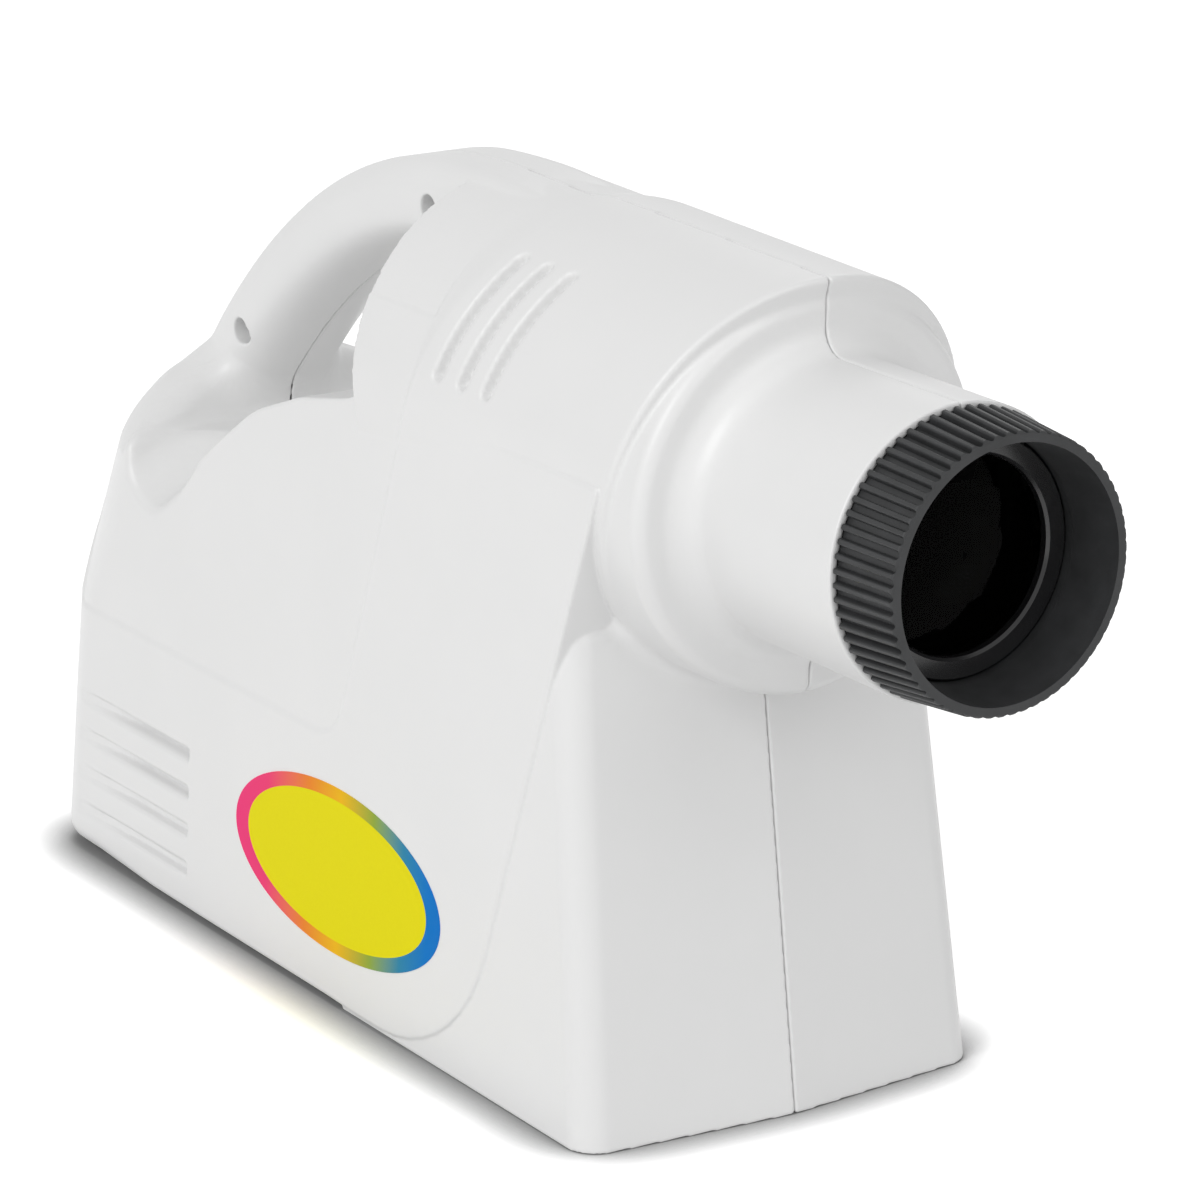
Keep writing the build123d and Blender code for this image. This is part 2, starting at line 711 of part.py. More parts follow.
def mirror_carrier(space):
    """Backing plate with two ears that meet the flanks."""
    plate = trapezoid(carrier_margin, carrier_thickness, mirror_thickness)
    low_x = -mirror_length / 2 - carrier_margin
    ears = block(low_x, low_x + carrier_ear, -hood_width, hood_width, mirror_thickness,
                 mirror_thickness + carrier_thickness)
    return on_mirror(plate + ears) & space


def mirror_clip(side):
    """Folded clip over one side edge of the mirror and its carrier."""
    middle = (mirror_top_width + mirror_low_width) / 4
    stack = mirror_thickness + carrier_thickness
    outer = block(-clip_length / 2, clip_length / 2, side * (middle - clip_lip),
                  side * (middle + carrier_margin + clip_sheet + 2), -clip_sheet,
                  stack + clip_sheet)
    outer -= trapezoid(0, mirror_thickness + 1, 0)
    outer -= trapezoid(carrier_margin, carrier_thickness, mirror_thickness)
    grown = trapezoid(carrier_margin + clip_sheet, stack + 2 * clip_sheet, -clip_sheet)
    return on_mirror(outer & grown)


def reflector():
    """Curved sheet over the bulb with a flat strip on top."""
    outer = reflector_radius + reflector_thickness
    half = reflector_half_width
    sheet = crossbar(lamp_x, lamp_z, outer, -half, half)
    sheet -= crossbar(lamp_x, lamp_z, reflector_radius, -half - 1, half + 1)
    reach = 2 * outer
    corners = [(lamp_x, lamp_z)]
    for share, stretch in ((0, 1), (0.33, 1.3), (0.67, 1.3), (1, 1)):
        turn = radians(reflector_from + share * (reflector_to - reflector_from))
        corners.append((lamp_x + reach * stretch * cos(turn), lamp_z + reach * stretch * sin(turn)))
    sheet &= across(side_figure(corners), half + 2)
    strip = block(lamp_x - 12, lamp_x + 12, -half, half, shield_z - 2, shield_z)
    return sheet + (strip - crossbar(lamp_x, lamp_z, reflector_radius, -half - 1, half + 1))


def upright(x, y, z0, z1, radius):
    """Round bar standing upright."""
    bar = Cylinder(radius, z1 - z0, align=(Align.CENTER, Align.CENTER, Align.MIN))
    return Pos(x, y, z0) * bar


def socket_bracket():
    """Plate on the floor that carries the lamp socket."""
    floor = house_foot + wall
    plate = block(lamp_x - bracket_length / 2, lamp_x + bracket_length / 2, -bracket_width / 2,
                  bracket_width / 2, floor, floor + bracket_thickness)
    for x in (lamp_x - bracket_screw_x, lamp_x + bracket_screw_x):
        for side in (-1, 1):
            plate -= upright(x, side * bracket_screw_y, floor - 1, floor + 5,
                             screw_shank_radius + screw_hole_play)
    return plate


def lamp_socket():
    """Ceramic socket standing on the bracket."""
    low = house_foot + wall + bracket_thickness
    body = upright(lamp_x, 0, low, low + socket_length, socket_radius)
    body = chamfer([e for e in body.edges() if e.center().Z > low + socket_length - 1], 1.5)
    return body - upright(lamp_x, 0, low + socket_floor, far, socket_bore)


def bulb_cap():
    """Metal cap of the bulb."""
    low = house_foot + wall + bracket_thickness + socket_floor
    tip = upright(lamp_x, 0, low, low + 2, cap_radius / 2)
    return tip + upright(lamp_x, 0, low + 2, low + 2 + cap_length, cap_radius)


def bulb_globe():
    """Hollow glass globe with its neck."""
    low = house_foot + wall + bracket_thickness + socket_floor + 2 + cap_length
    outer = Pos(lamp_x, 0, lamp_z) * Sphere(bulb_radius)
    inner = Pos(lamp_x, 0, lamp_z) * Sphere(bulb_radius - bulb_glass)
    outer += upright(lamp_x, 0, low, lamp_z - bulb_radius / 2, bulb_neck_radius)
    inner += upright(lamp_x, 0, low + bulb_glass, lamp_z - bulb_radius / 2,
                     bulb_neck_radius - bulb_glass)
    return outer - inner


def lamp_door():
    """Rear door with its round hinge edge."""
    half = door_half_width
    plate = block(rear_x, rear_x + wall, -half, half, door_axis_z, door_high_z)
    edge = crossbar(door_axis_x, door_axis_z, hinge_radius, -half, half)
    bore = crossbar(door_axis_x, door_axis_z, hinge_pin_radius + running_fit, -half - 1, half + 1)
    return plate + edge - bore


def door_pull():
    """Finger tab on the outside of the door."""
    high = door_high_z - 6
    tab = block(rear_x - pull_reach, rear_x, -pull_half_width, pull_half_width,
                high - pull_height, high)
    return fillet([e for e in tab.edges() if abs(e.center().X - rear_x + pull_reach) < 0.01], 1.2)


def switch_frame():
    """Switch housing with a flange outside the wall."""
    flange = block(rear_x - switch_flange_thickness, rear_x,
                   switch_y - switch_half_width - switch_flange,
                   switch_y + switch_half_width + switch_flange,
                   switch_z - switch_half_height - switch_flange,
                   switch_z + switch_half_height + switch_flange)
    body = block(rear_x, rear_x + switch_depth, switch_y - switch_half_width,
                 switch_y + switch_half_width, switch_z - switch_half_height,
                 switch_z + switch_half_height)
    inner_y = switch_half_width - switch_wall
    inner_z = switch_half_height - switch_wall
    hollow = block(rear_x - 5, rear_x + switch_depth - switch_wall, switch_y - inner_y,
                   switch_y + inner_y, switch_z - inner_z, switch_z + inner_z)
    pivot = crossbar(rocker_x, switch_z, hinge_pin_radius, switch_y - inner_y, switch_y + inner_y)
    return flange + body - hollow + pivot


def switch_rocker():
    """Rocker, shown tipped to its off side."""
    half_y = switch_half_width - switch_wall - play
    half_z = switch_half_height - switch_wall - 0.9
    points = [(-4.6, -half_z), (-3.2, 0), (-4.6, half_z), (2.6, half_z - 1.2), (2.6, -half_z + 1.2)]
    figure = side_figure(points)
    rocker = extrude(figure, amount=half_y, dir=(0, 1, 0), both=True)
    rocker -= crossbar(0, 0, hinge_pin_radius + running_fit, -half_y - 1, half_y + 1)
    return Pos(rocker_x, switch_y, switch_z) * Rot(0, rocker_tilt, 0) * rocker


def cord_gland():
    """Bush for the mains lead in the rear wall."""
    bush = rear_bar(gland_y, gland_z, -gland_flange_thickness, 0, gland_flange_radius)
    bush = fillet([e for e in bush.edges() if e.center().X < rear_x - 2], 1.2)
    bush += rear_bar(gland_y, gland_z, 0, gland_length - gland_flange_thickness, gland_radius)
    return bush - rear_bar(gland_y, gland_z, -far / 8, far / 8, gland_bore)


def gland_nut():
    """Hexagonal nut behind the bush."""
    nut = extrude(RegularPolygon(gland_nut_radius, 6), amount=gland_nut_thickness)
    nut -= Cylinder(gland_radius, 4 * gland_nut_thickness)
    return Pos(rear_x + wall, gland_y, gland_z) * Rot(0, 90, 0) * nut


def screw(length):
    """Cross-recessed screw: head upwards from z = 0, shank downwards."""
    head = upright(0, 0, 0, screw_head_height, screw_head_radius)
    head = fillet([e for e in head.edges() if e.center().Z > screw_head_height - 0.1], 0.9)
    body = head + upright(0, 0, -length, 0, screw_shank_radius)
    top = screw_head_height
    for wide, deep in ((4.4, 1.0), (1.0, 4.4)):
        body -= block(-wide / 2, wide / 2, -deep / 2, deep / 2, top - screw_recess, top + 1)
    return body


def base_frame(space):
    """Frame round the copy window, inside the foot of the hood."""
    middle = -hood_depth / 2
    frame = block(-hood_depth, 0, -hood_width, hood_width, frame_low_z, frame_high_z) & space
    return frame - block(middle - window_half, middle + window_half - 3, -window_half, window_half,
                         -1, 2 * frame_high_z)


def rubber_foot(side):
    """Round foot with a stud that plugs into the floor."""
    x = rear_x + foot_inset
    stud = upright(x, side * foot_y, 0, foot_stud_height, foot_stud_radius)
    return upright(x, side * foot_y, 0, house_foot, foot_radius) + stud


def oval_label():
    """Thin oval sticker lying on the near flank."""
    oval = extrude(Plane.XZ * Pos(label_x, label_z) * Ellipse(label_half_length, label_half_height),
                   amount=far / 4)
    return oval & flank_plate(-1, house_step + label_thickness, label_thickness,
                              label_x - 70, label_x + 70, 5, 83)


def save(name, solid):
    """Writes one node, shifted so that the part's middle is at x = 0."""
    pieces = solid.solids()
    if len(pieces) != 1:
        raise ValueError(name + " has " + str(len(pieces)) + " pieces")
    export_step(Pos(-part_middle_x, 0, 0) * pieces[0], "parts/" + name + ".step")


def main():
    """Builds and saves every node."""
    os.makedirs("parts", exist_ok=True)
    form = outer_form()
    space = inner_space()
    save("left_shell", house_shell(form, space, -1))
    save("right_shell", house_shell(form, space, 1))
    save("oval_label", oval_label())
    save("focus_ring", focus_ring())
    save("guide_tube", guide_tube())
    save("lens_cell", lens_cell())
    for k, turn in enumerate(pin_turns()):
        save("cam_pin_" + str(k + 1), cam_pin(turn))
    flange_x = cell_front_x - cell_flange
    front_back_x = flange_x - lens_edge
    save("lens_front", lens(front_back_x, lens_bulge, lens_bulge))
    save("lens_rear", lens(lens_rear_x, lens_bulge, lens_bulge))
    ring_outer = cell_bore - lens_play
    save("lens_spacer", tube_on_axis(lens_rear_x + lens_edge, front_back_x, ring_outer,
                                     ring_outer - spacer_thickness))
    save("lens_retainer", tube_on_axis(lens_rear_x - 4, lens_rear_x, cell_bore,
                                       ring_outer - spacer_thickness))
    save("mirror", mirror_glass())
    save("mirror_carrier", mirror_carrier(space))
    save("mirror_clip_left", mirror_clip(-1))
    save("mirror_clip_right", mirror_clip(1))
    save("light_baffle", block(baffle_x, baffle_x + baffle_thickness, -hood_width, hood_width,
                               baffle_low_z, baffle_high_z) & space)
    save("heat_shield", block(shield_back_x, shield_front_x, -hood_width, hood_width,
                              shield_z, shield_z + shield_thickness) & space)
    save("reflector", reflector())
    save("socket_bracket", socket_bracket())
    save("lamp_socket", lamp_socket())
    save("bulb_cap", bulb_cap())
    save("bulb_globe", bulb_globe())
    save("lamp_door", lamp_door())
    save("door_pull", door_pull())
    save("door_hinge_pin", crossbar(door_axis_x, door_axis_z, hinge_pin_radius,
                                    -door_half_width - hinge_ear, door_half_width + hinge_ear))
    save("switch_frame", switch_frame())
    save("switch_rocker", switch_rocker())
    save("cord_gland", cord_gland())
    save("gland_nut", gland_nut())
    for k, (x, z, entry) in enumerate(screw_places()):
        save("shell_screw_" + str(k + 1),
             Pos(x, entry * screw_seat_y, z) * Rot(-90 * entry, 0, 0) * screw(screw_length))
    count = 0
    for x in (lamp_x - bracket_screw_x, lamp_x + bracket_screw_x):
        for side in (-1, 1):
            count += 1
            save("bracket_screw_" + str(count),
                 Pos(x, side * bracket_screw_y, house_foot + wall + bracket_thickness)
                 * screw(bracket_screw_length - bracket_thickness))
    save("base_frame", base_frame(space))
    save("rubber_foot_left", rubber_foot(-1))
    save("rubber_foot_right", rubber_foot(1))


if __name__ == "__main__":
    main()
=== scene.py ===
# Look of the projector: both moulded shells as distance fields, materials, light and camera.
import json
import math

import bmesh
import bpy
import numpy as np
import openvdb
from mathutils import Matrix, Vector


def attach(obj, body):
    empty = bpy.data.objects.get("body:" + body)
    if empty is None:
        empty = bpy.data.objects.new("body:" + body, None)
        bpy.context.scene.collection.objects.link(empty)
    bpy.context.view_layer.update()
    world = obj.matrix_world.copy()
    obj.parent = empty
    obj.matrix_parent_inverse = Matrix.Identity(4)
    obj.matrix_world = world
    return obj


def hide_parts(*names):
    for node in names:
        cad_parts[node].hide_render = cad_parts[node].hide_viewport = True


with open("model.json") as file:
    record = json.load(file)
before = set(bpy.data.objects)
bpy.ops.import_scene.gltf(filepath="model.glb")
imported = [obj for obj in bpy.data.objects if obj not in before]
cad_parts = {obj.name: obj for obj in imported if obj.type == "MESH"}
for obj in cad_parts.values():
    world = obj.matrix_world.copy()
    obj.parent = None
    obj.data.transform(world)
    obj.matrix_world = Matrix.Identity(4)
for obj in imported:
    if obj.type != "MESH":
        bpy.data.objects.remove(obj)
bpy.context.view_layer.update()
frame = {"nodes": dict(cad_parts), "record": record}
NODES = frame["nodes"]

MIDDLE = 121.1            # mm, from the working x = 0 to the part's own
H = 0.8                   # mm, spacing of the distance field
BAND = 3.0                # mm, of the field kept on each side of the surface
GRID_LOW = (-340.0, -2.4, -3.2)       # mm, least x, s and z
GRID_SIZE = (520, 96, 328)            # samples along x, s and z
SCOOP_X = slice(35, 190)              # samples that the hollow under the handle reaches
HANDLE_X, HANDLE_Z = slice(0, 285), slice(155, None)      # the handle's
SHOULDER_Z = slice(180, None)         # the shoulder's, behind the handle
WALL = 2.5                # mm
THIN_WALL = 1.7           # mm, behind the louvres and the sunken field
SEAM = 0.02               # mm, from the parting plane to each shell
TRIANGLES = 280000        # per moulded shell


# ---------------------------------------------------------------- distance field
def round_cut(a, b, r):
    """Keeps what is inside both, with a rounded edge."""
    u = np.maximum(a + r, 0)
    v = np.maximum(b + r, 0)
    return np.minimum(-r, np.maximum(a, b)) + np.sqrt(u * u + v * v)


def round_join(a, b, r):
    """Joins two, with a hollow fillet."""
    u = np.maximum(r - a, 0)
    v = np.maximum(r - b, 0)
    return np.maximum(r, np.minimum(a, b)) - np.sqrt(u * u + v * v)


def step(d, soft):
    """1 inside, 0 outside, smooth over a band."""
    t = np.clip(0.5 - d / (2 * soft), 0, 1)
    return t * t * (3 - 2 * t)


def rounded(points, radii, per=9):
    """Polygon with its corners turned into arcs."""
    out = []
    n = len(points)
    for k in range(n):
        p = np.array(points[k], float)
        a = np.array(points[k - 1], float) - p
        b = np.array(points[(k + 1) % n], float) - p
        la, lb = np.linalg.norm(a), np.linalg.norm(b)
        a, b = a / la, b / lb
        half = math.acos(max(-1, min(1, float(a @ b)))) / 2
        reach = min(radii[k] / math.tan(half), 0.49 * la, 0.49 * lb)
        r = reach * math.tan(half)
        centre = p + (a + b) / np.linalg.norm(a + b) * r / math.sin(half)
        s, e = p + a * reach - centre, p + b * reach - centre
        t0, t1 = math.atan2(s[1], s[0]), math.atan2(e[1], e[0])
        turn = (t1 - t0 + math.pi) % (2 * math.pi) - math.pi
        for i in range(per + 1):
            t = t0 + turn * i / per
            out.append(centre + r * np.array((math.cos(t), math.sin(t))))
    return np.array(out)


def polygon(points, x, z):
    """Signed distance to a closed polygon."""
    d = np.full(np.broadcast(x, z).shape, 1e9, np.float32)
    inside = np.zeros(d.shape, bool)
    for k in range(len(points)):
        ax, az = points[k - 1]
        bx, bz = points[k]
        ex, ez = bx - ax, bz - az
        length = ex * ex + ez * ez
        if length < 1e-9:
            continue
        t = np.clip(((x - ax) * ex + (z - az) * ez) / length, 0, 1)
        d = np.minimum(d, (x - ax - t * ex) ** 2 + (z - az - t * ez) ** 2)
        cross = ((az > z) != (bz > z))
        with np.errstate(divide="ignore", invalid="ignore"):
            inside ^= cross & (x < ex * (z - az) / (ez if ez else 1e-9) + ax)
    return np.where(inside, -np.sqrt(d), np.sqrt(d)).astype(np.float32)


def line_distance(points, x, z):
    """Distance to an open chain of points."""
    d = np.full(np.broadcast(x, z).shape, 1e9, np.float32)
    for (ax, az), (bx, bz) in zip(points[:-1], points[1:]):
        ex, ez = bx - ax, bz - az
        t = np.clip(((x - ax) * ex + (z - az) * ez) / (ex * ex + ez * ez), 0, 1)
        d = np.minimum(d, (x - ax - t * ex) ** 2 + (z - az - t * ez) ** 2)
    return np.sqrt(d)


def smooth_chain(points, rounds=4):
    """Chaikin-rounded open chain through control points."""
    p = np.array(points, float)
    for _ in range(rounds):
        q = 0.75 * p[:-1] + 0.25 * p[1:]
        r = 0.25 * p[:-1] + 0.75 * p[1:]
        p = np.concatenate([p[:1], np.stack([q, r], 1).reshape(-1, 2), p[-1:]])
    return p


# ---------------------------------------------------------------- the two shells
# Places are in mm, with x counted from the foot of the hood's front; MIDDLE takes them to the
# part's own x.
AXIS_Z = 187.7            # height of the lens axis
BARREL_Z, BARREL_R, BARREL_BACK = 192.0, 61.5, -147.3
BARREL_TAPER, TAPER_X = 0.022, -72.0
HANDLE_HALF, HANDLE_EDGE, HANDLE_DEPTH = 20.5, 10.0, 13.8
FLANK = math.tan(math.radians(2.8))
FIELD = [(-318, 84), (-150, 84), (-141, 113), (-121.5, 178), (-113.5, 202), (-105, 229),
         (-100, 245), (-100, 270), (-318, 270)]
SCREWS = [(-287.0, 176.0, -1), (-170.0, 239.0, -1), (-322.0, 14.0, 1), (-322.0, 132.0, 1),
          (-170.0, 14.0, 1)]
BOSS_R, PILOT_R, WELL_R = 6.2, 1.85, 4.2
WELL_DEPTH, PILOT_DEPTH = 9.0, 13.0
DOOR_HALF, DOOR_LOW, DOOR_HIGH = 26.5, 27.5, 100.5
VENT_LEAN = math.tan(math.radians(15.5))
HIGH_VENTS, HIGH_VENT_X, HIGH_VENT_STEP, HIGH_VENT_R = 3, -90.3, 12.6, 3.0
LOW_VENT_DEPTHS, LOW_VENT_Z, LOW_VENT_STEP = (3.0, 3.4, 4.8, 5.0), 15.2, 12.75


def lining_top(form, deep):
    """Negative past the bottom of a groove that deep and the wall behind it."""
    return form + deep + THIN_WALL


def shell_field(side):
    """Distance field of one moulded shell on a grid; s counts out from the parting plane."""
    x0, s0, z0 = GRID_LOW
    nx, ns, nz = GRID_SIZE
    x = (x0 + H * np.arange(nx, dtype=np.float32))[:, None, None]
    s = (s0 + H * np.arange(ns, dtype=np.float32))[None, :, None]
    z = (z0 + H * np.arange(nz, dtype=np.float32))[None, None, :]
    lean = x + z * math.tan(math.radians(8.5))
    front = (lean + s * math.tan(math.radians(4.9))) * 0.985
    flank = (s - 70 + z * FLANK) * 0.9988
    hood = round_cut(front, flank, 9.0)
    hood = round_cut(hood, z - 152.0, 7.0)
    hood = np.maximum(hood, -141.5 - x)

    radius = np.sqrt(s * s + (z - BARREL_Z) ** 2)
    lip = (x - 9.7 + (253.5 - z) * math.tan(math.radians(15.5)) + s * 0.07) * 0.96
    wide = BARREL_R - BARREL_TAPER * np.clip(x - TAPER_X, -75, 75)
    barrel = round_cut(radius - wide, lip, 1.6)
    back_face = (BARREL_BACK - 0.13 * (z - 205) - x) * 0.99
    barrel = round_cut(barrel, back_face, 1.0)

    about = np.sqrt(s * s + (z - AXIS_Z) ** 2)
    face = (x - 8.0 + (253.5 - z) * math.tan(math.radians(2.5)) + s * 0.063) * 0.997
    disc = round_cut(about - 58.6, face, 4.0)
    disc = np.maximum(disc, -48.0 - x)
    nozzle = np.maximum(about - 42.3, -36.0 - x)
    collar = round_join(nozzle, disc, 8.5)

    top = BARREL_Z + BARREL_R * math.sin(math.radians(2.8))
    run = math.tan(math.radians(17.25))
    outline = rounded([(-335, 1.7), (-18.6 - 177.6 * run, 1.7), (-18.6 + (top - 179.3) * run, top),
                       (-140, top), (-152, 190.5), (-180, 184.5), (-207, 174.5), (-240, 151.5),
                       (-262, 147.5), (-289, 147), (-296, 163), (-313, 166.5), (-325, 158),
                       (-331.5, 129), (-335, 90)],
                      [12, 60, 1, 4, 12, 40, 60, 30, 30, 5, 6, 14, 12, 60, 60])
    flat = polygon(outline, x[:, :, 0], z[0, :, :])[:, None, :]
    zz = z[0, 0, :]
    pull = np.interp(zz, [0, 84, 100, 111, 127, 150, 168, 200], [0, 0, 0.3, 1.2, 3.5, 8.5, 14, 40])
    pull = np.convolve(np.pad(pull, 12, mode="edge"), np.ones(25) / 25, "valid").astype(np.float32)
    corner = np.interp(zz, [0, 53, 88, 111, 127, 157, 200],
                       [22, 26, 29, 40, 45, 54, 56]).astype(np.float32)
    back = pull[None, None, :] - 335.0 - x
    house = round_cut((s - 71 + z * FLANK) * 0.9988, back, corner[None, None, :])
    soft = np.interp(x[:, 0, 0], [-335, -300, -262, -230, -150, -135],
                     [7, 6, 2.5, 2.0, 1.6, 0.8]).astype(np.float32)[:, None, None]
    house = round_cut(house, flat, soft)
    fall = (z - 167.5 + 0.5 * np.maximum(s - 20, 0)) * 0.9 - np.clip(x + 292, 0, 60)
    house[:, :, SHOULDER_Z] = round_cut(house[:, :, SHOULDER_Z], fall[:, :, SHOULDER_Z], 8.0)

    rise = 0.571
    scoop = rounded([(-196, 181), (-209, 174), (-225, 164), (-240, 151), (-252, 138),
                     (-269, 126.5), (-283, 133), (-290, 156), (-300, 260), (-196, 260)],
                    [20, 60, 60, 60, 20, 13, 12, 30, 5, 5])
    low_z = z - (63.1 - s) * rise
    table_z = np.arange(60, 300, H, dtype=np.float32)
    table = polygon(scoop, x[SCOOP_X, :, 0], table_z[None, :])
    index = np.clip((low_z[0] - 60) / H, 0, len(table_z) - 1.001)
    base = index.astype(int)
    part = index - base
    cut = table[:, base] * (1 - part) + table[:, base + 1] * part
    cut = np.maximum(cut * 0.9, 12.5 - s)
    house[SCOOP_X] = round_cut(house[SCOOP_X], -cut, 3.0)

    form = round_join(hood, collar, 5.0)
    form = round_join(form, barrel, 1.2)
    form = np.minimum(form, house)

    chain = smooth_chain([(-316, 144), (-307, 156.5), (-287, 179.5), (-259.5, 204), (-226, 225.2),
                          (-189.5, 237.8), (-157, 239.6), (-132, 239.1), (-108, 236.0)])
    spine = line_distance(chain, x[HANDLE_X, :, 0], z[0, :, HANDLE_Z])[:, None, :]
    hollow = np.concatenate([chain, [(-108, 100), (-316, 100)]])
    inside = polygon(hollow, x[HANDLE_X, :, 0], z[0, :, HANDLE_Z])[:, None, :] < 0
    q1 = spine - 4.25
    q2 = s - (HANDLE_HALF - HANDLE_EDGE)
    handle = np.sqrt(np.maximum(q1, 0) ** 2 + np.maximum(q2, 0) ** 2)
    handle += np.minimum(np.maximum(q1, q2), 0) - HANDLE_EDGE
    bend = 2.4
    oval = (spine / HANDLE_DEPTH) ** bend + (np.maximum(s, 0) / HANDLE_HALF) ** bend
    handle = np.where(inside, (oval ** (1 / bend) - 1) * 16.0, handle)
    blend = np.interp(x[HANDLE_X, 0, 0], [-330, -290, -240, -170, -158, -141],
                      [9, 9, 5, 2, 0.5, 0.2]).astype(np.float32)[:, None, None]
    near_top = (x[HANDLE_X] > -180) & (z[:, :, HANDLE_Z] > 222)

    def with_handle(body, sunk_by):
        """Adds the handle; near its top nothing stands outside it and the barrel's round."""
        joined = round_join(body[HANDLE_X, :, HANDLE_Z], handle, blend)
        envelope = np.minimum(handle, radius[:, :, HANDLE_Z] - wide[HANDLE_X] + sunk_by)
        body[HANDLE_X, :, HANDLE_Z] = np.where(near_top, np.maximum(joined, envelope), joined)
        return body

    field = polygon(rounded(FIELD, [1, 15, 60, 60, 60, 60, 10, 1, 1]), x[:, :, 0], z[0])[:, None, :]
    high = np.clip((z - 205) / 40, 0, 1)
    sunk = (0.9 + 0.9 * high) * step(field + 4 * high, 0.9 + 7 * high)
    plain_form = with_handle(form.copy(), 0.0)
    form = with_handle(form + sunk, 1.8)
    lining = -np.maximum(plain_form + WALL, form + THIN_WALL)

    arc = np.arctan2(s, z - BARREL_Z)
    for k in range(HIGH_VENTS):
        across = x - (HIGH_VENT_X + HIGH_VENT_STEP * k) - (z - 242.4) * VENT_LEAN
        middle, half = math.radians(55.75), math.radians(21.25)
        along = np.maximum(np.abs(arc - middle) * BARREL_R - half * BARREL_R + HIGH_VENT_R, 0)
        slot = np.sqrt(across ** 2 + along ** 2) - HIGH_VENT_R
        near = radius > BARREL_R - 6
        deep = 4.8 * np.clip((2.7 - across) / 5.0, 0, 1) * np.clip(-slot / 1.2, 0, 1)
        lining = np.where(near, np.minimum(lining, np.maximum(slot - 2, -lining_top(form, 5.0))),
                          lining)
        form = np.where(near, round_cut(form, np.minimum(-slot, form + deep), 0.8), form)
    for k, full_depth in enumerate(LOW_VENT_DEPTHS):
        zc = LOW_VENT_Z + LOW_VENT_STEP * k
        along = np.maximum(np.abs(x + 275.5) - 36.5 + 0.8, 0)
        slot = np.sqrt(np.maximum(np.abs(z - zc) - 1.6, 0) ** 2 + along ** 2) - 0.8
        deep = full_depth * np.clip((x + 314) / 40, 0, 1)
        lining = np.where(s > 50, np.minimum(lining, np.maximum(slot - 2, -lining_top(form, deep))),
                          lining)
        deep = deep * np.clip(-slot / 0.9, 0, 1)
        form = np.where(s > 50, round_cut(form, np.minimum(-slot, form + deep), 0.5), form)

    shell = np.maximum(form, lining)
    for sx, sz, entry in SCREWS:
        rod = np.sqrt((x - sx) ** 2 + (z - sz) ** 2)
        shell = np.minimum(shell, np.maximum(rod - BOSS_R, form))
        deep = WELL_DEPTH if side == entry else PILOT_DEPTH
        shell = np.maximum(shell, -np.maximum(rod - PILOT_R, s - deep))
        if side == entry:
            shell = np.maximum(shell, -np.maximum(rod - WELL_R, WELL_DEPTH - s))
    rear = x + 328.0
    ear = np.maximum(np.abs(s - 28.0) - 1.5, np.abs(z - 30.2) - 4.0)
    shell = np.minimum(shell, np.maximum(np.maximum(ear, x + 329.0), form))
    door_z = (DOOR_LOW + DOOR_HIGH) / 2
    door = np.maximum(s - DOOR_HALF, np.abs(z - door_z) - (DOOR_HIGH - DOOR_LOW) / 2)
    shell = np.maximum(shell, -np.maximum(door, rear))
    pin = np.maximum(np.sqrt((x + 332.8) ** 2 + (z - 30.2) ** 2) - 1.25, s - 29.6)
    shell = np.maximum(shell, -pin)
    if side > 0:
        hole = np.maximum(np.abs(s - 36.0) - 6.3, np.abs(z - 32.0) - 9.8)
    else:
        hole = np.sqrt((s - 36.0) ** 2 + (z - 55.0) ** 2) - 6.5
    shell = np.maximum(shell, -np.maximum(hole, rear))
    shell = np.maximum(shell, x - 69.0)
    shell = np.maximum(shell, -z)
    shell = np.maximum(shell, SEAM - s)
    shell[0], shell[-1] = 5, 5
    shell[:, 0], shell[:, -1] = 5, 5
    shell[:, :, 0], shell[:, :, -1] = 5, 5
    return shell.astype(np.float32), (x0, s0, z0)


def sample(grid, points):
    """Trilinear value of a grid at fractional indices."""
    low = np.clip(np.floor(points).astype(int), 0, np.array(grid.shape) - 2)
    f = points - low
    total = np.zeros(len(points))
    for i in (0, 1):
        for j in (0, 1):
            for k in (0, 1):
                w = (np.abs(1 - i - f[:, 0]) * np.abs(1 - j - f[:, 1]) * np.abs(1 - k - f[:, 2]))
                total += w * grid[low[:, 0] + i, low[:, 1] + j, low[:, 2] + k]
    return total


